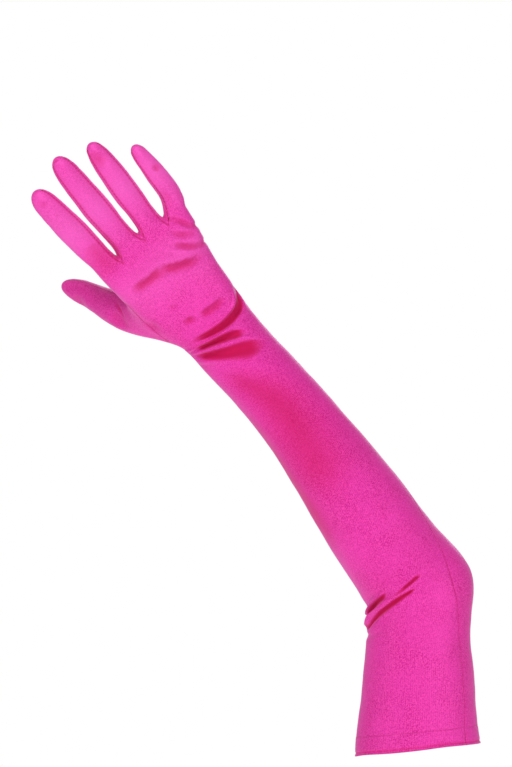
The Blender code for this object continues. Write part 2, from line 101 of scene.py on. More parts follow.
CAMERA_PLACE = (-0.1203, -3.2, 0.2727)
CAMERA_LENS = 201.6  # in millimetres, and so is the sensor
CAMERA_SENSOR = 36.0
CAMERA_REACH = 50

# Levels of smoothing, each of which halves the faces.
SMOOTHING = 3

# The arm's cross-sections. Share is that of the stretch's length, and the next four are shares of the named
# width: outer is the elbow's side, inner the thumb's, back that of the hand's back. Seam is the side seam's
# angle from the outer side towards the back, in degrees.
SECTIONS = (
    # stretch, share, width, outer, inner, back, front, seam
    ("upper_arm", 0, CUFF_WIDTH, 0.51, 0.505, 0.445, 0.445, 42),
    ("upper_arm", 0.11, CUFF_WIDTH, 0.49, 0.5, 0.435, 0.435, 41),
    ("upper_arm", 0.45, CUFF_WIDTH, 0.472, 0.447, 0.42, 0.42, 39),
    ("upper_arm", 1, CUFF_WIDTH, 0.432, 0.408, 0.4, 0.4, 43),
    ("elbow", 0.5, ELBOW_WIDTH, 0.59, 0.47, 0.465, 0.465, 51),
    ("forearm", 0, FOREARM_WIDTH, 0.53, 0.5, 0.455, 0.455, 36),
    ("forearm", 0.14, FOREARM_WIDTH, 0.522, 0.48, 0.45, 0.45, 10),
    ("forearm", 0.3, FOREARM_WIDTH, 0.507, 0.425, 0.435, 0.435, 0),
    ("forearm", 0.5, FOREARM_WIDTH, 0.473, 0.33, 0.39, 0.39, 0),
    ("forearm", 0.72, WRIST_WIDTH, 0.56, 0.415, 0.43, 0.43, 0),
    ("forearm", 1, WRIST_WIDTH, 0.455, 0.53, 0.36, 0.36, 0),
    ("wrist", 0.5, WRIST_WIDTH, 0.462, 0.53, 0.345, 0.35, 0),
    ("palm", 0.08, PALM_WIDTH, 0.322, 0.405, 0.205, 0.25, 0),
    ("palm", 0.3, PALM_WIDTH, 0.338, 0.475, 0.185, 0.265, 0),
    ("palm", 0.65, PALM_WIDTH, 0.388, 0.498, 0.17, 0.2, 0),
    ("palm", 1, PALM_WIDTH, 0.468, 0.518, 0.13, 0.135, 0),
)

# Rings of the net, as shares of each stretch. The upper arm's is counted from the hem's inner edge.
HEM_RINGS = (0.10, 0.26, 0.60)
RINGS = (
    ("upper_arm", (0.12, 0.50, 0.82)),
    ("elbow", (0.02, 0.19, 0.36, 0.53, 0.72, 0.95)),
    ("forearm", (0.17, 0.42, 0.66, 0.82, 0.91, 0.97)),
    ("wrist", (0.34, 0.92)),
    ("palm", (0.09, 0.30, 0.58, 1.0)),
)

# Where the palm ends between the fingers, from the thumb's side on: a share of the palm's half width, and how
# far short of its full length, as a share of that.
FORKS = (
    # across, short
    (-1, 0.015),
    (-0.56, 0.05),
    (0, 0.015),
    (0.55, 0.06),
    (1, 0.125),
)

# The fingers. Length and width are shares of the named ones, and tip is the share of the width at the tip.
# Splay is the angle from the palm's line towards the thumb, lean that of the outer two thirds. Curl is the
# bend towards the palm at the knuckle and at each of the two joints. The angles are in degrees.
FINGERS = (
    # name, length, width, tip, splay, lean, knuckle curl, joint curl
    ("index", 0.915, 1, 1, 5, 4, 9, 5),
    ("middle", 1, 1, 0.97, 0, -1.5, 10, 5),
    ("ring", 0.908, 0.95, 0.96, -4.5, -4.5, 11, 6),
    ("little", 0.728, 0.85, 0.8, -29, -2.5, 8, 8),
)

# A finger along its length: width and depth as shares of its width, and the half angle of the strip beside
# it, in degrees.
FINGER_SECTIONS = (
    # share, width, depth, strip
    (0.07, 0.9, 0.86, 30),
    (0.26, 0.96, 0.9, 26),
    (0.46, 0.99, 0.85, 24),
    (0.67, 0.91, 0.77, 22),
    (0.86, 0.81, 0.67, 18),
    (0.96, 0.56, 0.46, 14),
)

# The thumb's middle line, as shares of its length towards the fingers, out to its side and behind the palm.
# Then its thickness, as shares of the thumb's width.
THUMB_SECTIONS = (
    # fingers, side, behind, tall, deep
    (0.06, 0.105, 0.17, 1.25, 1.15),
    (0.188, 0.182, 0.353, 1.04, 1),
    (0.272, 0.233, 0.5, 0.88, 0.88),
    (0.355, 0.286, 0.642, 0.8, 0.78),
    (0.435, 0.35, 0.775, 0.56, 0.54),
)
THUMB_RINGS = (0, 2)  # the palm's rings between which the thumb is set in

PALM_POWER = 3.2  # how nearly flat the hand is at the forks
PALM_TUCK = 0.06  # how far the columns draw in there

# Where a finger bends, as shares of its length: the knuckle's end, and the start and length of each joint.
KNUCKLE = 0.2
FIRST_JOINT = (0.3, 0.12)
SECOND_JOINT = (0.62, 0.1)
FINGER_TIP = 1.6  # how far it bulges, as a share of the length beyond the last ring
THUMB_TIP = 0.06  # as a share of the thumb's length

# Folds, in millimetres. A height below nothing is a valley. Steeper is how much more its left side falls than
# its right, seen from outside along its run. Painted shade is the shade painted into a valley, dark and as
# red as the cloth's own reflections make it. Places are points (x, z) of the surface that faces -Y, or a
# share of a stretch and an angle from the outer side towards the back.
FOLDS = (
    # widths, heights, steeper, painted shade, places
    # at the crease of the elbow: two rolls of cloth, with a deep valley below each
    ((2.4, 2.2, 1.9, 1.4, 0.8), (0, 1.4, 2.3, 1.3, 0.3), 0, 0, ("elbow", 0.55, 236), ("elbow", 0.22, 206),
     (-39.9, 101.7), (-34.6, 109.5), (-27.9, 115.5), (-21.2, 121.1)),
    ((2.6, 2.5, 2.2, 1.3, 1, 0.8), (0, 1.8, 2.9, 1.6, 1.2, 0.5), 0, 0, ("elbow", 0.3, 240),
     ("upper_arm", 0.99, 208), (-40.2, 93.1), (-34.6, 100.9), (-27.2, 108.4), (-19.7, 112.9), (-10.1, 118.8),
     (-2.6, 123.7)),
    ((1.2, 1.5, 1.9, 1.5, 0.8), (-0.3, -1.8, -2.4, -1.9, -0.4), 0.35, 1, ("elbow", 0.2, 200), (-38.1, 98.7),
     (-35.5, 103.6), (-31.3, 109), (-26.7, 113.4), (-21.6, 118.2)),
    ((1.2, 1.5, 1.8, 1.5, 1.3, 1.1, 0.8), (-0.2, -2, -2.6, -2.4, -2.1, -1.8, -0.4), 0.35, 1,
     ("upper_arm", 0.93, 200), (-37.2, 91.6), (-33.5, 96.8), (-27.9, 102.4), (-20.1, 108.2), (-10.6, 114.7),
     (-4.1, 118.6), (0.4, 121.2)),
    ((0.8, 1.3, 1.2, 0.9, 0.7), (-0.2, -2, -1.8, -1, -0.1), 0.2, 0.9, (4.5, 131.9), (-1.5, 127),
     (-7.8, 121.6), (-14.2, 116.4), (-20.5, 112.1)),
    ((2.2, 2.4), (-1.6, -0.6), 0, 0, ("upper_arm", 0.86, 196), (-35.4, 83.8), (-24.2, 89)),
    ((5, 6), (-0.9, -0.3), 0, 0.15, (-36.9, 109.1), (-30.2, 118.8), (-16.8, 133.7)),
    # the same crease, on the other side
    ((1.6, 1.9, 1.4, 0.9), (-1, -2.4, -1.8, -0.3), 0, 0.8, ("elbow", 0.16, 192), ("elbow", 0.32, 212),
     ("elbow", 0.52, 232), ("elbow", 0.7, 250)),
    ((1.6, 1.9, 1.4, 0.9), (-1, -2.4, -1.8, -0.3), 0, 0.8, ("upper_arm", 0.95, 196), ("elbow", 0.06, 220),
     ("elbow", 0.26, 240), ("elbow", 0.42, 262)),
    # across the back of the wrist
    ((3, 3.4, 3.4, 3, 2.5, 2, 1.2), (-0.5, -2.6, -3, -2.8, -2.4, -1.8, -0.4), 0.4, 1, ("palm", 0.16, 352),
     (-132.2, 337.9), (-131.9, 328.9), (-138.2, 320.4), (-147.1, 313.3), (-159.1, 306.9), (-174, 300.6)),
    ((1.3, 1.4, 1.4, 1.2, 0.9), (0.3, 2, 2.2, 1.7, 0.3), 0, 0, (-138.6, 345.3), (-137.1, 331.9),
     (-143.4, 322.2), (-156.8, 312.2), (-172.5, 304.3)),
    ((1.2, 1.1, 1.2, 2.2), (0.8, 2.1, 2.2, 1.2), 0, 0, (-174, 295.8), (-159.8, 302.1), (-147.9, 308.1),
     (-132.2, 318.5)),
    ((1, 1.9, 2.7, 3, 1.6), (-0.4, -2.4, -2.7, -2, -0.6), 0.45, 1, (-168, 297.6), (-158.3, 301.5),
     (-146.4, 306.8), (-136, 310.6), (-126, 312.5)),
    ((1.2, 1.1, 1.1, 1.2), (0.8, 2.2, 1.8, 0.5), 0, 0, (-166.5, 294.8), (-151.6, 300.3), (-137.5, 305.6),
     (-124, 308.8)),
    ((1.6, 2.6, 4.2, 6.2, 4), (-1.6, -2.8, -2.9, -2.6, -1.2), 0.4, 1, (-167.3, 293.2), (-156.8, 294.1),
     (-143, 296.9), (-128.5, 300.6), (-111, 304.5)),
    ((2, 2.2, 3), (0.8, 1.5, 0.4), 0, 0, (-163.5, 288.9), (-145.6, 290.6), (-114, 296.5)),
    # slack below the wrist and down the middle of the forearm, with painted shade that darkens it
    ((5, 8, 14, 18, 19, 16), (-0.6, -1.2, -1.4, -1.3, -1.2, -0.6), 0, 0.78, (-152, 282), (-130, 273),
     (-106, 260), (-89, 238), (-74, 210), (-54, 172)),
    ((7, 10, 12, 10), (-0.4, -0.9, -1.1, -0.5), 0, 0.9, (-132, 260), (-106, 219), (-80, 178), (-58, 144)),
    # across the front of the wrist
    ((4, 5, 4), (-0.6, -1.6, -0.6), 0, 0.4, ("wrist", 0.6, 200), ("wrist", 0.4, 265), ("wrist", 0.6, 340)),
    ((2.5, 3, 2.5), (0.3, 0.9, 0.3), 0, 0, ("wrist", 0.95, 215), ("wrist", 0.8, 265), ("wrist", 0.98, 325)),
    # on the back of the hand
    ((2, 2.8, 3, 3, 2.6), (-0.38, -2.6, -0.9, -3.2, -2.4), 0.45, 0.68, (-217.2, 339.3), (-203, 349),
     (-190.3, 358), (-175.4, 362.4), (-156.8, 370.4)),
    ((2, 2.2, 2), (0.38, 1.3, 0.4), 0, 0, (-206, 353.8), (-192.5, 363), (-174, 368.9)),
    ((1.8, 2.6, 2.6, 1.8), (-0.12, -2, -1.9, -0.12), 0.35, 0.6, (-163.5, 322.5), (-157, 327),
     (-150.5, 331.5), (-143.5, 338.5)),
    ((1.8, 2.4, 1.8), (-0.12, -1.7, -0.12), 0.3, 0.6, (-176, 317), (-170, 320.5), (-163.5, 321.5)),
    ((1.6, 2.2, 1.4), (-0.12, -1.12, -0.12), 0, 0.27, (-185.9, 327.8), (-182.2, 329.3), (-176.9, 330.8)),
    ((1.8, 2.2, 1.6), (-0.5, -1.9, -0.5), 0.3, 0.55, (-182.9, 376.2), (-171.7, 375.5), (-158.3, 379.9)),
    ((2, 2.4, 1.8), (0.5, 1.38, 0.38), 0, 0, (-185.9, 372.9), (-171.7, 371.8), (-159.1, 375.5)),
    ((1.8, 2.2, 1.6), (-0.5, -1.5, -0.5), 0.2, 0.5, (-184.4, 385.5), (-174.7, 384), (-163.5, 385.5)),
    ((1.6, 2.2, 1.8), (-0.38, -1.5, -0.62), 0.2, 0.5, (-186, 396), (-174.5, 393), (-163, 390)),
    ((5.5, 8, 7), (-0.75, -1.88, -0.88), 0, 0.42, (-245, 379.5), (-236.5, 367.5), (-224, 353)),
    ((4, 4.5, 3), (-0.38, -1.38, -0.38), 0, 0.32, (-202.3, 319.2), (-196.3, 314.8), (-188.9, 310.3)),
    ((1.2, 1.6, 1.2), (-0.38, -1.12, -0.25), 0, 0.27, (-188.1, 396.7), (-182.9, 395.2), (-176.9, 397.5)),
    # on the fingers
    ((2, 2.8, 1.8), (-0.1, -1, -0.1), 0, 0.8, (-198.9, 432.8), (-194.8, 433.6), (-191.1, 435.8)),
    ((3, 4.5, 3.5), (-0.1, -0.9, -0.1), 0, 0.8, (-246.5, 443.5), (-238, 439.9), (-229.5, 436)),
    ((0.9, 1.1, 0.9), (0, -0.8, 0), 0, 0.9, (-271.9, 434.7), (-270.4, 438.1), (-266.3, 439.6)),
    ((1.6, 2.2, 1.6), (-0.1, -0.6, -0.1), 0, 0.5, (-191.8, 418.3), (-186.6, 411.6), (-182.9, 403.4)),
    ((1.6, 2.4, 1.4), (-0.1, -0.7, -0.1), 0, 0.5, (-284.2, 407.1), (-278.3, 405.7), (-273.8, 407.1)),
    # at the root of the thumb, and below its tip
    ((1.2, 1.6, 1.2), (-0.3, -1.2, -0.3), 0, 0.8, (-225.5, 334.5), (-222, 327.5), (-219, 321)),
    ((5, 6, 5), (-1, -2.6, -1), 0, 0.2, (-243, 321), (-229.5, 316.5), (-216, 312.5)),
    ((4, 5, 4), (-0.4, -1.5, -0.5), 0, 0.2, (-258, 338), (-252, 333.5), (-246, 329)),
)
FINE_WIDTH = 2.7  # narrower folds get a finer net, and a clear edge to their painted shade
FINE_REACH = 0.0042  # of the finer net round them, in metres
FOLD_STEPS = 8  # of a fold's line for each of its places
FADE = 5  # over a fifth of the fold's run at either end
FOLD_POWER = 2.3  # how abruptly it ends across its run
SHOULDER_PLACE, SHOULDER_WIDTH, SHOULDER_HEIGHT = 1.7, 0.8, 0.12  # of the swelling beside it
PAINTED_SHADE_DEPTH = 0.0016  # a valley this deep has all of its painted shade

# The crease where the hem's edge is rolled under, above the opening, and the painted shade along it.
HEM_ROLL = 0.0022
HEM_ROLL_WIDTH = 0.0008
HEM_ROLL_DEPTH = 0.00055
HEM_ROLL_SHADE = 0.45

# How the cloth turns in at a seam and at the hem's open edge: how far from the seam, as a share of the roll's
# width, and how far down, as a share of the cloth's thickness.
ROLL_WIDTH = 0.00042
SEAM_ROLL = ((1, 0), (0.5, 0.14), (0.2, 0.45), (0.08, 0.9))
EDGE_ROLL = ((1.2, 0), (0.35, 0.16), (0, 0.5), (0.35, 0.84))
CLOSE_SEWN = 0.35  # the roll at the hem's seam, as a share of the others

# The painted shade beside a seam, broken by stitches: its width, and its strength at the hem and in the
# sleeve.
SEAM_SHADE = 0.0008
HEM_SEAM_SHADE = 0.10
SLEEVE_SEAM_SHADE = 0.35

# The painted sheen, a lighter lilac tint, at shares of the palm's and of the middle finger's length.
PALM_PAINTED_SHEEN = ((0, 0), (0.35, 0.15), (0.68, 0.85), (1, 0.2))
FINGER_PAINTED_SHEEN = ((0.4, 1.5), (0.9, 0.6))

# The cloth's waves: their length and height, and where their pattern starts.
SLACK = ((0.024, 0.0006, (0, 0, 0)), (0.01, 0.00022, (7, 3, 1)))
PUCKERS = (0.0032, 0.00018, (0, 0, 0))  # beside the seams
PUCKER_REACH = 0.004
HEM_WAVES = (0.03, 0.0008, (2, 9, 4))  # up and down along the hem's edge
HEM_WAVE_REACH = 0.006

INSIDE_FACES = 0.68  # the share of the trank's faces left when the inner ones are thinned

# The satin's colours, for red, green and blue.
DULL_THREAD = (0.6, 0.003, 0.22, 1)
BRIGHT_THREAD = (0.92, 0.062, 0.45, 1)
BROAD_PATCH = (0.88, 0.044, 0.43, 1)
# Painted sheen: a lighter lilac tint up the hand and fingers.
PAINTED_SHEEN_COLOUR = (0.93, 0.14, 0.58, 1)
# Painted shade in the folds, dark and as red as the cloth's own reflections make it.
FOLD_SHADE_COLOUR = (0.58, 0.0003, 0.066, 1)
# Painted shade in the seams' grooves, broken by stitches.
STITCHES_AND_SEAM_SHADE = (0.56, 0.002, 0.08, 1)

# The studio. The floor lies well below the glove.
FLOOR = -0.60
FLOOR_HALF_WIDTH = 2.4
FLOOR_SIDES = 96
FLOOR_GLOW = 0.35
SURROUNDING_LIGHT = 0.38
LIGHTS = (
    # name, place, target, size, power in watts
    ("top_softbox", (-0.75, -1.05, 1.45), (-0.16, 0, 0.3), (0.6, 0.6), 10.5),
    ("front_softbox", (-0.45, -2.6, 0.6), (-0.2, 0, 0.34), (0.9, 0.9), 4.2),
    ("left_softbox", (-1.5, -0.9, 0.2), (-0.24, 0, 0.3), (0.8, 0.8), 3.2),
    ("right_softbox", (1.25, -1.2, 0.35), (-0.02, 0, 0.15), (0.9, 1.1), 7.5),
    ("low_softbox", (0.4, -1.8, -0.35), (-0.2, 0, 0.33), (0.8, 0.8), 3),
    ("back_softbox", (0.3, 1.9, 1.1), (-0.12, 0, 0.25), (1.2, 1.2), 16),
)

FINGER_COUNT = len(FINGERS)
BACK_COLUMNS = 2 * FINGER_COUNT + 1
COLUMNS = 2 * BACK_COLUMNS + 2
OUTER_CORNER = 3  # of a finger's ring of eight points, on the little finger's side
INNER_CORNER = 7  # and on the thumb's side

# Columns of a ring of the arm: inner side, back from the thumb on, outer side, front.
INNER_COLUMN = 0
OUTER_COLUMN = BACK_COLUMNS + 1


def back_column(i):
    return 1 + i


def front_column(i):
    return COLUMNS - 1 - i


def unit(value):
    """The value, kept between 0 and 1."""
    return min(max(value, 0.0), 1.0)


def cage_swell(sides):
    """How much larger a ring is made, because smoothing draws it in."""
    return 1 / (2 / 3 + cos(2 * pi / sides) / 3)


def cos_sin(degrees):
    return cos(radians(degrees)), sin(radians(degrees))


def turn(vector, axis, degrees):
    """The vector turned about the axis."""
    c, s = cos_sin(degrees)
    axis = axis / np.linalg.norm(axis)
    return vector * c + np.cross(axis, vector) * s + axis * (axis @ vector) * (1 - c)


class Frame:
    """A point of the arm's middle line, with the directions along, to the outer side and to the back."""

    def __init__(self, centre, along, outer, back):
        self.centre, self.along, self.outer, self.back = centre, along, outer, back

    def moved(self, length, degrees, axis_of):
        """The frame that lies further along: straight, or round an arc about its axis."""
        if not degrees:
            return Frame(self.centre + self.along * length, self.along, self.outer, self.back)
        axis = axis_of(self)
        axis = axis / np.linalg.norm(axis)
        radius = length / radians(degrees)
        to_middle = np.cross(axis, self.along) * radius
        middle = self.centre + to_middle
        ways = (turn(way, axis, degrees) for way in (self.along, self.outer, self.back))
        return Frame(middle + turn(-to_middle, axis, degrees), *ways)


class Arm:
    """The arm's middle line, from the hem to the forks of the fingers."""

    def __init__(self):
        elbow_corner = ELBOW_RADIUS * tan(radians(ELBOW_BEND / 2))
        wrist_bend = hypot(WRIST_BEND_BACK, WRIST_BEND_SIDE)
        wrist_corner = WRIST_RADIUS * tan(radians(wrist_bend / 2))
        self.stretches = {
            "upper_arm": (UPPER_ARM_LENGTH - elbow_corner, 0.0, None),
            "elbow": (ELBOW_RADIUS * radians(ELBOW_BEND), ELBOW_BEND, lambda f: f.back),
            "forearm": (FOREARM_LENGTH - elbow_corner - wrist_corner, 0.0, None),
            "wrist": (
                WRIST_RADIUS * radians(wrist_bend),
                wrist_bend,
                lambda f: f.outer * WRIST_BEND_BACK + f.back * WRIST_BEND_SIDE,
            ),
            "palm": (PALM_LENGTH - wrist_corner, 0.0, None),
        }
        self.starts, self.frames = {}, {}
        frame = Frame(*(np.array(row, float) for row in ((0, 0, 0), (0, 0, 1), (1, 0, 0), (0, -1, 0))))
        station = 0.0
        for name, (length, degrees, axis_of) in self.stretches.items():
            self.starts[name], self.frames[name] = station, frame
            frame = frame.moved(length, degrees, axis_of)
            station += length
        self.end = station

    def station(self, stretch, share):
        """The distance along the middle line."""
        return self.starts[stretch] + self.stretches[stretch][0] * share

    def frame(self, station):
        """The frame at a distance along the middle line."""
        for name, start in reversed(self.starts.items()):
            if station >= start or name == "upper_arm":
                length, degrees, axis_of = self.stretches[name]
                way = station - start
                return self.frames[name].moved(way, degrees * way / length, axis_of)


def smooth_line(xs, ys, x):
    """A smooth curve through the rows of a table, read at x."""
    xs, ys = np.asarray(xs, float), np.asarray(ys, float)
    slopes = np.gradient(ys, xs)
    x = min(max(x, xs[0]), xs[-1])
    i = int(np.clip(np.searchsorted(xs, x) - 1, 0, len(xs) - 2))
    step = xs[i + 1] - xs[i]
    t = (x - xs[i]) / step
    return (
        ys[i] * (2 * t**3 - 3 * t**2 + 1)
        + ys[i + 1] * (3 * t**2 - 2 * t**3)
        + slopes[i] * step * (t**3 - 2 * t**2 + t)
        + slopes[i + 1] * step * (t**3 - t**2)
    )


def share_in_palm(arm, station):
    """0 up to the wrist, and 1 at the forks of the fingers."""
    start = arm.starts["palm"]
    return unit((station - start) / (arm.end - start))


def section_at(arm, station):
    """Half sizes to the outer side, inner side, back and front, and the side seam's angle."""
    stations = [arm.station(row[0], row[1]) for row in SECTIONS]
    sizes = [[row[2] * share for share in row[3:7]] for row in SECTIONS]
    seam = smooth_line(stations, [row[7] for row in SECTIONS], station)
    return *(smooth_line(stations, [size[i] for size in sizes], station) for i in range(4)), seam


def arm_ring(arm, station):
    """The points of a ring of the sleeve or the palm."""
    frame = arm.frame(station)
    outer, inner, back, front, seam = section_at(arm, station)
    spread = share_in_palm(arm, station)
    step = 360 / COLUMNS
    across_forks = [row[0] for row in FORKS]
    points = [None] * COLUMNS

    def place(column, degrees, across=None):
        """One point. In the palm its place across the hand comes from the fingers."""
        c, s = cos_sin(degrees)
        if across is not None:
            c = c * (1 - spread) + across * spread
            round_depth = sqrt(max(1 - c * c, 0))
            flat_depth = (1 - abs(c) ** PALM_POWER) ** (1 / PALM_POWER) if abs(c) < 1 else 0
            s = copysign(round_depth * (1 - spread) + flat_depth * spread, s)
        point = frame.centre + frame.outer * c * (outer if c > 0 else inner)
        point = point + frame.back * s * (back if s > 0 else front)
        offset = point - frame.centre
        tilt = offset @ frame.outer * HEM_TILT_SIDE + offset @ frame.back * HEM_TILT_BACK
        point = point + frame.along * radians(tilt) * max(1 - station / UPPER_ARM_LENGTH, 0)
        short = smooth_line(across_forks, [row[1] for row in FORKS], c)
        points[column] = point - frame.along * short * PALM_LENGTH * spread

    turned = seam * (1 - spread)
    place(INNER_COLUMN, 180 + turned)
    place(OUTER_COLUMN, turned)
    for i in range(BACK_COLUMNS):
        across = np.interp(i, range(0, BACK_COLUMNS, 2), across_forks) * (1 - PALM_TUCK * spread)
        place(back_column(i), 180 - step * (i + 1) + turned, across)
        place(front_column(i), 180 + step * (i + 1) + turned, across)
    swell = cage_swell(COLUMNS)
    return [frame.centre + (point - frame.centre) * swell for point in points]


def cloth_columns(first, count):
    """Distances round the cloth of the sides of a ring, from the side seam on."""
    sides = []
    for k in range(first, first + count):
        k = k % COLUMNS
        start = k if k < OUTER_COLUMN else k - COLUMNS
        sides.append((start * COLUMN, (start + 1) * COLUMN))
    return sides


class Net:
    """Points, and four-sided faces with their panels and their places in the cloth."""

    def __init__(self):
        self.points, self.stations, self.faces, self.panels, self.cloth = [], [], [], [], []
        self.seams = set()

    def add(self, point, station):
        self.points.append(np.array(point, float))
        self.stations.append(station)
        return len(self.points) - 1

    def ring(self, points, station):
        return [self.add(point, station) for point in points]

    def face(self, corners, panel, cloth):
        self.faces.append(tuple(corners))
        self.panels.append(panel)
        self.cloth.append(cloth)

    def join(self, first, second, panel_of, sides, low, high):
        """Faces between two rings. panel_of gives the panel of each side, or None for a hole."""
        n = len(first)
        for k in range(n):
            panel = panel_of(k)
            if panel:
                u, v = sides[k]
                corners = (first[k], first[(k + 1) % n], second[(k + 1) % n], second[k])
                self.face(corners, panel, ((u, low), (v, low), (v, high), (u, high)))

    def seam(self, corners):
        """A seam inside one panel, along these points."""
        self.seams |= {frozenset(pair) for pair in zip(corners, corners[1:])}

    def close(self, ring, across, side, bulge, panel, start, low):
        """Closes a ring by a grid of faces. The ring starts at the grid's corner and runs across."""
        grid = {}
        for i in range(across + 1):
            grid[i, 0] = ring[i]
            grid[i, side] = ring[(2 * across + side - i) % len(ring)]
        for j in range(side + 1):
            grid[across, j] = ring[across + j]
            grid[0, j] = ring[-j] if j else ring[0]
        points = self.points
        centre = np.mean([points[i] for i in ring], axis=0)
        for i in range(1, across):
            for j in range(1, side):
                u, v = i / across, j / side
                point = (
                    (1 - v) * points[grid[i, 0]] + v * points[grid[i, side]]
                    + (1 - u) * points[grid[0, j]] + u * points[grid[across, j]]
                ) / 2
                grid[i, j] = self.add((point + centre) / 2 + bulge, self.stations[ring[0]])
        place = lambda i, j: (start + i * COLUMN, low + j * COLUMN / 2)
        for i in range(across):
            for j in range(side):
                corners = ((i, j), (i + 1, j), (i + 1, j + 1), (i, j + 1))
                self.face([grid[spot] for spot in corners], panel, tuple(place(*spot) for spot in corners))
        return grid


def ring_stations(arm):
    """The rings' distances along the middle line, and the number of the palm's first."""
    stations = [0.0, *(share * HEM_HEIGHT for share in HEM_RINGS), HEM_HEIGHT]
    for stretch, shares in RINGS:
        if stretch == "palm":
            first_of_palm = len(stations)
        start = HEM_HEIGHT if stretch == "upper_arm" else arm.station(stretch, 0)
        stations += [start + share * (arm.station(stretch, 1) - start) for share in shares]
    return stations, first_of_palm


def arm_rings(net, arm):
    """Joins the rings from the hem to the forks. Returns the palm's."""
    stations, first_of_palm = ring_stations(arm)
    rings = [net.ring(arm_ring(arm, station), station) for station in stations]
    thumb_columns = {front_column(0), front_column(1), front_column(2), INNER_COLUMN}
    first, last = (first_of_palm + number for number in THUMB_RINGS)
    sides = cloth_columns(0, COLUMNS)
    for n, (a, b) in enumerate(zip(rings, rings[1:])):
        sleeve = "trank" if n > len(HEM_RINGS) else "hem_band"
        open_columns = thumb_columns if first <= n < last else ()
        net.join(a, b, lambda k: None if k in open_columns else sleeve, sides, stations[n], stations[n + 1])
    net.seam([ring[OUTER_COLUMN] for ring in rings])
    return rings[first_of_palm:]


def thumb_hole(palm):
    """The points round the thumb's hole, from its front corner nearest the wrist."""
    first, last = THUMB_RINGS
    low, high = palm[first], palm[last]
    near = [front_column(2), front_column(1), front_column(0), INNER_COLUMN, back_column(0)]
    hole = [low[k] for k in near]
    hole += [palm[i][back_column(0)] for i in range(first + 1, last)]
    hole += [high[k] for k in reversed(near)]
    hole += [palm[i][front_column(2)] for i in range(last - 1, first, -1)]
    return hole


def finger_directions(frame, splay, curl):
    """A finger's direction along itself, to its outer side and to its back."""
    along = turn(frame.along, frame.back, splay)
    outer = turn(frame.outer, frame.back, splay)
    along, back = turn(along, outer, -curl), turn(frame.back, outer, -curl)
    return along, outer, back


def make_finger(net, arm, palm, forks, number):
    """One finger: rings from the palm's edge to a closed tip."""
    name, length, width, tip, splay, lean, knuckle, joint = FINGERS[number]
    length, width = length * FINGER_LENGTH, width * FINGER_WIDTH
    frame = arm.frame(arm.end)
    base = palm[-1]
    left, right = 2 * number, 2 * number + 2
    loop = [base[back_column(i)] for i in range(left, right + 1)] + [forks[number + 1]]
    loop += [base[front_column(i)] for i in range(right, left - 1, -1)] + [forks[number]]
    inner_strip = "fourchette_" + "_".join((FINGERS[number - 1][0], name)) if number else "trank"
    is_last = number == FINGER_COUNT - 1
    outer_strip = "trank" if is_last else "fourchette_" + "_".join((name, FINGERS[number + 1][0]))
    panels = ["trank"] * 2 + [outer_strip] * 2 + ["trank"] * 2 + [inner_strip] * 2
    starts = (back_column(left), front_column(right) - 2, front_column(right), front_column(left))
    sides = [side for start in starts for side in cloth_columns(start, 2)]
    centre = np.mean([net.points[i] for i in (loop[1], loop[5])], axis=0)
    ring, before, swell = loop, 0.0, cage_swell(len(loop))
    for share, wide, deep, strip in FINGER_SECTIONS:
        bent, bent_twice = (unit((share - place) / over) for place, over in (FIRST_JOINT, SECOND_JOINT))
        curl = knuckle * min(share / KNUCKLE, 1) + joint * bent + joint * bent_twice
        along, outer, back = finger_directions(frame, splay * (1 - bent) + lean * bent, curl)
        centre = centre + along * (share - before) * length
        angles = [180 - strip, 90, strip, 0, -strip, -90, strip - 180, 180]
        size = (1 - share + share * tip) * width / 2
        points = []
        for c, s in map(cos_sin, angles):
            points.append(centre + (outer * (c * wide * size) + back * (s * deep * size)) * swell)
        nxt = net.ring(points, arm.end + share * length)
        net.join(ring, nxt, lambda k: panels[k], sides, arm.end + before * length, arm.end + share * length)
        before = share
        if is_last:
            net.seam([ring[OUTER_CORNER], nxt[OUTER_CORNER]])
        if number == 0:
            net.seam([ring[INNER_CORNER], nxt[INNER_CORNER]])
        ring = nxt
    bulge = along * (1 - FINGER_SECTIONS[-1][0]) * length * FINGER_TIP
    grid = net.close(ring, 2, 2, bulge, "trank", back_column(left) * COLUMN, arm.end + length)
    net.seam([ring[INNER_CORNER], grid[1, 1], ring[OUTER_CORNER]])


def make_thumb(net, arm, palm):
    """The thumb: rings from the hole in the trank to a closed tip."""
    loop = thumb_hole(palm)
    side = THUMB_RINGS[1] - THUMB_RINGS[0]
    across = len(loop) // 2 - side
    seam_corner = across + side + 1
    frame = arm.frame(arm.starts["palm"])
    start = np.mean([net.points[i] for i in loop], axis=0)
    line = [start]
    for fingers, out, behind, _, _ in THUMB_SECTIONS:
        line.append(start + (frame.along * fingers - frame.outer * out - frame.back * behind) * THUMB_LENGTH)
    ring, swell = loop, cage_swell(len(loop))
    turned = [(k - seam_corner) % len(loop) for k in range(len(loop))]
    sides = [(k * COLUMN, (k + 1) * COLUMN) for k in turned]
    low = 0.0
    for n, (_, _, _, tall, deep) in enumerate(THUMB_SECTIONS, start=1):
        along = line[min(n + 1, len(line) - 1)] - line[n - 1]
        along = along / np.linalg.norm(along)
        back = frame.back - along * (along @ frame.back)
        back = back / np.linalg.norm(back)
        up = np.cross(along, back)
        points = []
        for k in range(len(loop)):
            a = 2 * pi * (k - across - side / 2) / len(loop)
            offset = back * cos(a) * deep + up * sin(a) * tall
            points.append(line[n] + offset * THUMB_WIDTH / 2 * swell)
        nxt = net.ring(points, arm.starts["palm"])
        high = low + np.linalg.norm(line[n] - line[n - 1])
        net.join(ring, nxt, lambda k: "thumb", sides, low, high)
        net.seam([ring[seam_corner], nxt[seam_corner]])
        ring, low = nxt, high
    net.close(ring, across, side, along * THUMB_LENGTH * THUMB_TIP, "thumb", 0.0, low)


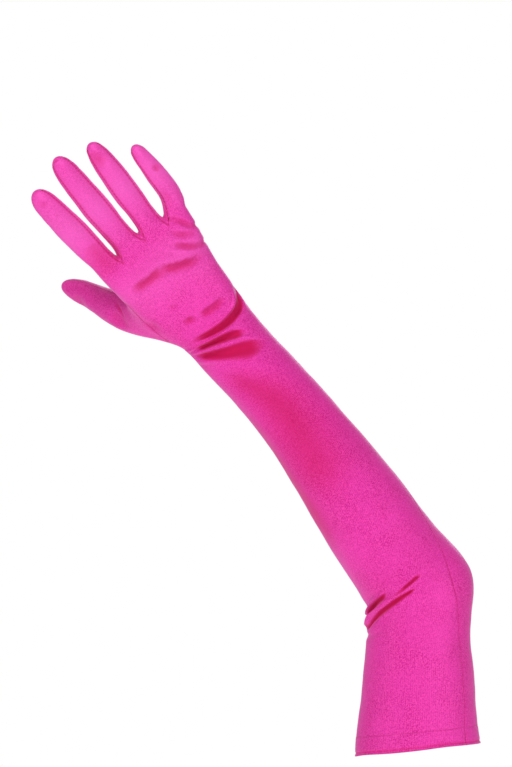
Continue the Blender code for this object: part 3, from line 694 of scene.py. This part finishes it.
def make_net(arm):
    """The whole glove's surface."""
    net = Net()
    palm = arm_rings(net, arm)
    base = palm[-1]
    forks = [base[INNER_COLUMN]]
    for row in range(1, FINGER_COUNT):
        back, front = (net.points[base[column(2 * row)]] for column in (back_column, front_column))
        forks.append(net.add((back + front) / 2, arm.end))
    forks.append(base[OUTER_COLUMN])
    for number in range(FINGER_COUNT):
        make_finger(net, arm, palm, forks, number)
    make_thumb(net, arm, palm)
    return net


def new_object(name, data):
    """An object of the scene, for this mesh, light or camera."""
    holder = bpy.data.objects.new(name, data)
    bpy.context.scene.collection.objects.link(holder)
    return holder


def smoothed(net):
    """The smooth net. A face's material number is its panel's place in the names."""
    names = sorted(set(net.panels))
    mesh = bpy.data.meshes.new("net")
    mesh.from_pydata([tuple(point) for point in net.points], [], net.faces)
    for _ in names:
        mesh.materials.append(None)
    mesh.polygons.foreach_set("material_index", [names.index(panel) for panel in net.panels])
    station = mesh.attributes.new("station", "FLOAT", "POINT")
    station.data.foreach_set("value", net.stations)
    cloth = mesh.uv_layers.new(name="cloth")
    cloth.data.foreach_set("uv", np.array(net.cloth, float).ravel())
    for edge in mesh.edges:
        edge.use_seam = frozenset(edge.vertices) in net.seams
    holder = new_object("net", mesh)
    smooth = holder.modifiers.new("smooth", "SUBSURF")
    smooth.levels = smooth.render_levels = SMOOTHING
    bm = bmesh.new()
    bm.from_mesh(holder.evaluated_get(bpy.context.evaluated_depsgraph_get()).to_mesh())
    bpy.data.objects.remove(holder)
    bpy.data.meshes.remove(mesh)
    for edge in bm.edges:
        if len({face.material_index for face in edge.link_faces}) > 1:
            edge.seam = True
    bm.verts.ensure_lookup_table()
    return bm, names


def arm_point(arm, station, degrees):
    """A point of the sleeve, at an angle from the outer side towards the back."""
    frame = arm.frame(station)
    outer, inner, back, front, _ = section_at(arm, station)
    c, s = cos_sin(degrees)
    point = frame.centre + frame.outer * c * (outer if c > 0 else inner)
    return point + frame.back * s * (back if s > 0 else front)


def seen_point(tree, x, z):
    """The point of the surface at this place of the view along +Y."""
    eye = Vector(CAMERA_PLACE)
    target = Vector((x / 1000, 0, z / 1000))
    hit = tree.ray_cast(eye, (target - eye).normalized())[0]
    return hit or tree.find_nearest(target)[0]


def fold_lines(bm, arm):
    """Each fold as a row of points on the surface, with its row of the table."""
    tree = BVHTree.FromBMesh(bm)
    lines = []
    for row in FOLDS:
        stops = []
        for place in row[4:]:
            if len(place) == 2:
                stops.append(seen_point(tree, *place))
            else:
                stretch, share, degrees = place
                point = arm_point(arm, arm.station(stretch, share), degrees)
                stops.append(tree.find_nearest(Vector(point))[0])
        steps = np.linspace(0, len(stops) - 1, FOLD_STEPS * len(stops))
        numbers = list(range(len(stops)))
        columns = [[stop[axis] for stop in stops] for axis in range(3)]
        spots = [[smooth_line(numbers, column, step) for column in columns] for step in steps]
        lines.append((np.array([tree.find_nearest(spot)[0][:] for spot in spots]), row))
    return lines


def tree_of(points):
    """Finds the nearest of these points."""
    tree = kdtree.KDTree(len(points))
    for number, point in enumerate(points):
        tree.insert(point, number)
    tree.balance()
    return tree


def refine(bm, lines):
    """Halves the faces near the narrow folds."""
    tree = tree_of(np.concatenate([line for line, row in lines if min(row[0]) < FINE_WIDTH]))
    near = [face for face in bm.faces if tree.find(face.calc_center_median())[2] < FINE_REACH]
    edges = {edge for face in near for edge in face.edges}
    bmesh.ops.subdivide_edges(bm, edges=list(edges), cuts=1, use_grid_fill=True)
    bm.verts.ensure_lookup_table()
    bm.verts.index_update()
    bm.faces.index_update()


def add_folds(bm, lines):
    """Moves the surface in and out. Returns the painted shade of the folds at each point, more the deeper it
    lies in one.
    """
    bm.normal_update()
    points = np.array([v.co[:] for v in bm.verts])
    normals = np.array([v.normal[:] for v in bm.verts])
    moved = np.zeros(len(points))
    crease_shade = np.zeros(len(points))
    for line, (widths, heights, steeper, painted_shade, *_) in lines:
        reach = 0.004 * max(widths)
        lows, highs = line.min(axis=0) - reach, line.max(axis=0) + reach
        some = np.flatnonzero(((points > lows) & (points < highs)).all(axis=1))
        spots, out = points[some], normals[some]
        near = np.full(len(some), 1.0)
        place = np.zeros(len(some))
        side = np.zeros(len(some))
        for k, (first, second) in enumerate(zip(line, line[1:])):
            edge = second - first
            length = edge @ edge
            if length < 1e-14:
                continue
            along = np.clip((spots - first) @ edge / length, 0, 1)
            away = spots - first - along[:, None] * edge
            away = away - out * np.sum(away * out, axis=1)[:, None] * 0.85
            distance = np.linalg.norm(away, axis=1)
            closer = distance < near
            near[closer] = distance[closer]
            left = np.cross(out, edge)
            side[closer] = np.sum(away * left, axis=1)[closer]
            place[closer] = ((k + along) / (len(line) - 1))[closer]
        width, height = (
            np.interp(place, np.linspace(0, 1, len(row)), row) / 1000 for row in (widths, heights)
        )
        ends = np.clip(np.minimum(place, 1 - place) * FADE, 0, 1)
        ends = ends * ends * (3 - 2 * ends)
        x = near / width / np.where(side > 0, 1 - steeper, 1 + steeper)
        valley = np.exp(-(x**FOLD_POWER)) * (0.25 + 0.75 * ends)
        shoulder = np.exp(-(((x - SHOULDER_PLACE) / SHOULDER_WIDTH) ** 2)) * SHOULDER_HEIGHT * ends
        moved[some] += height * (valley - shoulder)
        # Painted shade in the valleys: darker and redder the deeper they are.
        if painted_shade:
            depth = np.clip(-height / PAINTED_SHADE_DEPTH, 0, 1)
            leaf = x / (0.25 + 0.90 * np.sqrt(ends))
            sharpness = 6 if min(widths) < FINE_WIDTH else 2
            crease_shade[some] = np.maximum(crease_shade[some], painted_shade * depth * np.exp(-(leaf**sharpness)) * ends)
    for vert, normal, distance in zip(bm.verts, normals, moved):
        vert.co += Vector(normal * distance)
    bm.normal_update()
    return crease_shade


def seam_distances(bm):
    """How far each point lies from the nearest seam."""
    ends = {v.index: v.co for edge in bm.edges if edge.seam for v in edge.verts}
    tree = tree_of(ends.values())
    return np.array([tree.find(v.co)[2] for v in bm.verts])


def seam_shades(arm, stations, from_seam):
    """How much painted shade a seam lays on each point: plain round the fingers, faint down the sleeve."""
    up_the_hand = np.array([share_in_palm(arm, station) for station in stations])
    plain = SLEEVE_SEAM_SHADE + (1 - SLEEVE_SEAM_SHADE) * np.minimum(up_the_hand * 2, 1)
    plain = np.where(abs(stations - HEM_HEIGHT) < 0.002, HEM_SEAM_SHADE, plain)
    return np.exp(-((from_seam / SEAM_SHADE) ** 2)) * plain


def painted_sheen_at(arm, stations):
    """The painted sheen, a lighter lilac tint: none in the sleeve, and most along the fingers."""
    palm, fingers = arm.starts["palm"], arm.end
    places = [palm + share * (fingers - palm) for share, _ in PALM_PAINTED_SHEEN]
    places += [fingers + share * FINGER_LENGTH for share, _ in FINGER_PAINTED_SHEEN]
    levels = [level for _, level in PALM_PAINTED_SHEEN + FINGER_PAINTED_SHEEN]
    return np.interp(stations, places, levels)


def waves(place, length, height, start):
    """The height of an uneven surface at this place."""
    return noise.noise(place / length + Vector(start)) * height


def add_slack(bm, stations, from_seam):
    """Soft waves all over, small puckers beside the seams, and the hem's roll and waves."""
    normals = [v.normal.copy() for v in bm.verts]
    for vert, normal, station, distance in zip(bm.verts, normals, stations.tolist(), from_seam):
        free = unit((station - HEM_HEIGHT) / HEM_HEIGHT)
        soft = sum(waves(vert.co, *row) for row in SLACK)
        pucker = waves(vert.co, *PUCKERS) * exp(-((distance / PUCKER_REACH) ** 2))
        roll = HEM_ROLL_DEPTH * exp(-(((station - HEM_ROLL) / HEM_ROLL_WIDTH) ** 2))
        wave = waves(vert.co, *HEM_WAVES) * exp(-((station / HEM_WAVE_REACH) ** 2))
        vert.co += normal * (soft * free + pucker - roll) + Vector((0, 0, wave))
    bm.normal_update()


def panel_corners(bm, index):
    """A panel's points, one for each fan of faces round a vertex that no seam parts."""
    corner = {}
    vert_of = []
    for vert in bm.verts:
        mine = [face for face in vert.link_faces if face.material_index == index]
        left = set(mine)
        while left:
            fan = [left.pop()]
            for face in fan:
                for edge in face.edges:
                    if vert in edge.verts and not edge.seam:
                        for other in edge.link_faces:
                            if other in left:
                                left.remove(other)
                                fan.append(other)
            for face in fan:
                corner[face.index, vert.index] = len(vert_of)
            vert_of.append(vert.index)
    return corner, vert_of


def panel_edges(faces, corner, count, layer):
    """Directions in from the seams, which points are at an open edge, and the edges."""
    ways = [[] for _ in range(count)]
    open_edge = np.zeros(count, bool)
    rim = []
    for face in faces:
        middle = face.calc_center_median()
        for loop in face.loops:
            if not loop.edge.seam and not loop.edge.is_boundary:
                continue
            following = loop.link_loop_next
            a, b = loop.vert, following.vert
            ends = corner[face.index, a.index], corner[face.index, b.index]
            rim.append((*ends, loop[layer].uv[:], following[layer].uv[:]))
            line = (b.co - a.co).normalized()
            inward = middle - a.co
            inward = (inward - line * inward.dot(line)).normalized()
            for end in ends:
                ways[end].append(inward)
                if loop.edge.is_boundary:
                    open_edge[end] = True
    inset = np.zeros((count, 3))
    for k, found in enumerate(ways):
        total = sum(found, Vector())
        if total.length > 0.3:
            inset[k] = total / max(total.length_squared / len(found), 0.35)
    return inset, open_edge, rim


def make_panel(bm, index, stations, shades, name, proud, cloth):
    """A panel of cloth: its outer and inner surface, and the edges that roll in at the seams."""
    corner, vert_of = panel_corners(bm, index)
    count = len(vert_of)
    layer = bm.loops.layers.uv["cloth"]
    faces = [face for face in bm.faces if face.material_index == index]
    place = np.array([bm.verts[v].co[:] for v in vert_of])
    normal = np.array([bm.verts[v].normal[:] for v in vert_of])
    inset, open_edge, rim = panel_edges(faces, corner, count, layer)
    rolls = np.where(open_edge[:, None, None], np.array(EDGE_ROLL), np.array(SEAM_ROLL))
    close_sewn = np.where(abs(stations[vert_of] - HEM_HEIGHT) < 1e-4, CLOSE_SEWN, 1.0)

    def rolled(step, depth=None):
        """The points at one step of the roll, or at a depth of the cloth."""
        out = rolls[:, step, 0] * ROLL_WIDTH * close_sewn
        down = rolls[:, step, 1] * cloth * close_sewn if depth is None else depth
        return place + inset * out[:, None] + normal * (proud - down)[:, None]

    edge_points = sorted({k for row in rim for k in row[:2]})
    number = {k: i for i, k in enumerate(edge_points)}
    rows = [rolled(0), rolled(len(SEAM_ROLL) - 1, np.full(count, cloth))]
    rows += [rolled(step)[edge_points] for step in range(1, len(SEAM_ROLL))]
    starts = np.cumsum([0] + [len(row) for row in rows])
    solid = [[corner[face.index, vert.index] for vert in face.verts] for face in faces]
    cloth_places = [[loop[layer].uv[:] for loop in face.loops] for face in faces]
    solid += [[k + count for k in reversed(points)] for points in solid]
    cloth_places += [uvs[::-1] for uvs in cloth_places]
    for a, b, uv_a, uv_b in rim:
        steps = [(a, b)]
        for step in range(1, len(SEAM_ROLL)):
            steps.append((starts[step + 1] + number[a], starts[step + 1] + number[b]))
        steps.append((a + count, b + count))
        for (a0, b0), (a1, b1) in zip(steps, steps[1:]):
            solid.append((b0, a0, a1, b1))
            cloth_places.append((uv_b, uv_a, uv_a, uv_b))
    mesh = bpy.data.meshes.new(name)
    mesh.from_pydata(np.concatenate(rows).tolist(), [], [[int(k) for k in points] for points in solid])
    places = mesh.uv_layers.new(name="cloth")
    places.data.foreach_set("uv", np.array([uv for uvs in cloth_places for uv in uvs], float).ravel())
    for title, shade in shades.items():
        values = shade[vert_of]
        whole = [values, values] + [values[edge_points]] * (len(SEAM_ROLL) - 1)
        attribute = mesh.attributes.new(title, "FLOAT", "POINT")
        attribute.data.foreach_set("value", np.concatenate(whole))
    panel = new_object(name, mesh)
    if name == "satin_trank":
        thin_inside(panel, sorted(set(range(count, 2 * count)) - {k + count for k in edge_points}))
    panel.data.shade_smooth()
    return panel


def thin_inside(panel, inside_points):
    """Leaves the inner surface about a third of its faces: only the opening shows it."""
    group = panel.vertex_groups.new(name="inside")
    group.add(inside_points, 1.0, "REPLACE")
    thin = panel.modifiers.new("thin", "DECIMATE")
    thin.vertex_group = group.name
    thin.ratio = INSIDE_FACES
    done = bpy.data.meshes.new_from_object(panel.evaluated_get(bpy.context.evaluated_depsgraph_get()))
    panel.modifiers.remove(thin)
    panel.vertex_groups.remove(group)
    rough = panel.data
    panel.data = done
    bpy.data.meshes.remove(rough)
    done.name = panel.name


class Nodes:
    """A short way to build a material's nodes."""

    def __init__(self, name):
        self.material = bpy.data.materials.new(name)
        self.material.use_nodes = True
        self.tree = self.material.node_tree
        self.shader = self.tree.nodes["Principled BSDF"]

    def add(self, kind, settings=None, **inputs):
        node = self.tree.nodes.new("ShaderNode" + kind)
        for key, value in (settings or {}).items():
            setattr(node, key, value)
        for key, value in inputs.items():
            self.set(node, key.replace("_", " "), value)
        return node

    def set(self, node, key, value):
        """Sets an input by its name or number, to a value or to another node's output."""
        socket = node.inputs[int(key[1:]) if key[0] == "i" and key[1:].isdigit() else key]
        if isinstance(value, bpy.types.NodeSocket):
            self.tree.links.new(value, socket)
        else:
            socket.default_value = value

    def times(self, a, b):
        return self.add("Math", {"operation": "MULTIPLY"}, i0=a, i1=b).outputs[0]

    def plus(self, a, b):
        return self.add("Math", {"operation": "ADD"}, i0=a, i1=b).outputs[0]

    def mix(self, share, a, b):
        return self.add("Mix", {"data_type": "RGBA"}, i0=share, i6=a, i7=b).outputs[2]

    def bands(self, way, vector, **inputs):
        """Smooth light and dark bands along the cloth's X or Y."""
        settings = {"wave_type": "BANDS", "bands_direction": way, "wave_profile": "SIN"}
        return self.add("TexWave", settings, Vector=vector, **inputs).outputs["Fac"]

    def ramp(self, value, stops):
        """Grey levels between two stops, each a value and its level."""
        node = self.add("ValToRGB", Fac=value)
        for point, (place, level) in zip(node.color_ramp.elements, stops):
            point.position = place
            point.color = (level, level, level, 1)
        return node.outputs[0]


def satin(name):
    """Pink satin: fine ribs along the glove, bright and dull threads, and a soft gloss."""
    n = Nodes(name)
    where = n.add("TexCoord").outputs["Object"]
    cloth = n.add("UVMap", {"uv_map": "cloth"}).outputs["UV"]
    shades = ("seam", "crease_shade", "painted_sheen")
    seam, crease_shade, painted_sheen = (n.add("Attribute", {"attribute_name": row}).outputs["Fac"] for row in shades)
    grain = n.add("TexNoise", Vector=where, Scale=1200.0, Detail=2.0, Roughness=0.6).outputs["Fac"]
    broad = n.add("TexNoise", Vector=where, Scale=38.0, Detail=3.0, Roughness=0.55).outputs["Fac"]
    ribs = n.bands("X", cloth, Scale=330.0, Distortion=1.2, Detail=2.0, Detail_Scale=2.0)
    courses = n.bands("Y", cloth, Scale=420.0, Distortion=1.6, Detail=1.0, Detail_Scale=3.0)
    weave = n.times(ribs, courses)
    mottled = n.plus(n.times(grain, 0.85), n.times(weave, 0.15))
    base = n.mix(n.ramp(mottled, ((0.36, 0.0), (0.56, 1.0))), DULL_THREAD, BRIGHT_THREAD)
    patches = n.ramp(broad, ((0.40, 0.0), (0.62, 1.0)))
    base = n.mix(n.times(patches, 0.35), base, BROAD_PATCH)
    # Painted sheen on the hand and fingers.
    base = n.mix(n.times(painted_sheen, 0.40), base, PAINTED_SHEEN_COLOUR)
    # Painted shade in the folds.
    base = n.mix(n.times(crease_shade, 0.94), base, FOLD_SHADE_COLOUR)
    # Painted shade along the seams, broken by the stitches.
    stitches = n.times(n.bands("Y", cloth, Scale=120.0), 0.30)
    base = n.mix(n.times(seam, n.plus(stitches, 0.35)), base, STITCHES_AND_SEAM_SHADE)
    rough = n.plus(n.times(mottled, 0.26), 0.34)
    rough = n.plus(rough, n.times(crease_shade, 0.35))
    height = n.plus(n.times(grain, 0.7), n.times(weave, 0.35))
    bump = n.add("Bump", Strength=0.40, Distance=0.0002, Height=height)
    tangent = n.add("Tangent", {"direction_type": "UV_MAP", "uv_map": "cloth"})
    n.set(n.shader, "Base Color", base)
    n.set(n.shader, "Roughness", rough)
    n.set(n.shader, "Normal", bump.outputs["Normal"])
    n.set(n.shader, "Tangent", tangent.outputs["Tangent"])
    levels = {
        "Anisotropic": 0.5,
        "IOR": 1.45,
        "Metallic": 0.12,
        "Specular IOR Level": 0.60,
        "Specular Tint": (0.80, 0.45, 1.0, 1),
        "Sheen Weight": 0.32,
        "Sheen Roughness": 0.35,
        "Sheen Tint": (1.0, 0.66, 1.0, 1),
    }
    for key, level in levels.items():
        n.shader.inputs[key].default_value = level
    return n.material


def make_glove():
    """The panels, each standing for the CAD node of its name."""
    arm = Arm()
    bm, names = smoothed(make_net(arm))
    bm.normal_update()
    lines = fold_lines(bm, arm)
    refine(bm, lines)
    crease_shade = add_folds(bm, lines)
    from_seam = seam_distances(bm)
    stations = np.array([v[bm.verts.layers.float["station"]] for v in bm.verts])
    # Painted shade along the hem's rolled crease, added to that of the folds.
    at_roll = np.exp(-(((stations - HEM_ROLL) / HEM_ROLL_WIDTH) ** 2))
    crease_shade = np.maximum(crease_shade, HEM_ROLL_SHADE * at_roll)
    # Painted shade beside the seams, and painted sheen up the hand.
    seam = seam_shades(arm, stations, from_seam)
    shades = {"seam": seam, "crease_shade": crease_shade, "painted_sheen": painted_sheen_at(arm, stations)}
    add_slack(bm, stations, from_seam)
    cloth_material = satin("pink_stretch_satin")
    for index, name in enumerate(names):
        proud, cloth = (HEM_PROUD, HEM_CLOTH) if name == "hem_band" else (0.0, CLOTH)
        panel = make_panel(bm, index, stations, shades, "satin_" + name, proud, cloth)
        panel.data.materials.append(cloth_material)
        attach(panel, "root")
        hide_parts(name)
    bm.free()


def add_light(name, place, target, size, power):
    """A softbox that faces its target."""
    light = bpy.data.lights.new(name, "AREA")
    light.shape = "RECTANGLE"
    light.size, light.size_y = size
    light.energy = power
    holder = new_object(name, light)
    holder.location = place
    holder.rotation_mode = "QUATERNION"
    holder.rotation_quaternion = (Vector(target) - Vector(place)).to_track_quat("-Z", "Y")


def make_floor():
    """A round floor of pale paper."""
    bm = bmesh.new()
    bmesh.ops.create_circle(bm, cap_ends=True, radius=FLOOR_HALF_WIDTH, segments=FLOOR_SIDES)
    bmesh.ops.translate(bm, verts=bm.verts, vec=(0, 0, FLOOR))
    mesh = bpy.data.meshes.new("floor")
    bm.to_mesh(mesh)
    bm.free()
    floor = new_object("floor", mesh)
    n = Nodes("pale_paper")
    where = n.add("TexCoord").outputs["Object"]
    speck = n.add("TexNoise", Vector=where, Scale=9.0, Detail=3.0).outputs["Fac"]
    n.set(n.shader, "Base Color", n.mix(speck, (0.93, 0.93, 0.93, 1), (0.96, 0.96, 0.96, 1)))
    n.shader.inputs["Roughness"].default_value = 0.9
    n.shader.inputs["Emission Color"].default_value = (1, 1, 1, 1)
    n.shader.inputs["Emission Strength"].default_value = FLOOR_GLOW
    mesh.materials.append(n.material)


def make_surroundings():
    """An even pale light from all round, which the camera sees as white."""
    world = bpy.data.worlds.new("studio")
    world.use_nodes = True
    nodes, links = world.node_tree.nodes, world.node_tree.links
    background = nodes["Background"]
    background.inputs["Color"].default_value = (1, 1, 1, 1)
    rays = nodes.new("ShaderNodeLightPath")
    strength = nodes.new("ShaderNodeMapRange")
    strength.inputs["To Min"].default_value = SURROUNDING_LIGHT
    strength.inputs["To Max"].default_value = 1.0
    links.new(rays.outputs["Is Camera Ray"], strength.inputs["Value"])
    links.new(strength.outputs["Result"], background.inputs["Strength"])
    bpy.context.scene.world = world


def make_studio():
    """Soft light from all round, and the level camera of the photograph."""
    make_floor()
    make_surroundings()
    scene = bpy.context.scene
    for row in LIGHTS:
        add_light(*row)
    scene.view_settings.view_transform = "Standard"
    scene.view_settings.look = "None"
    camera = bpy.data.cameras.new("camera")
    camera.sensor_width = CAMERA_SENSOR
    camera.lens = CAMERA_LENS
    camera.clip_end = CAMERA_REACH
    holder = new_object("camera", camera)
    holder.location = CAMERA_PLACE
    holder.rotation_euler = (pi / 2, 0, 0)
    scene.camera = holder


make_glove()
make_studio()
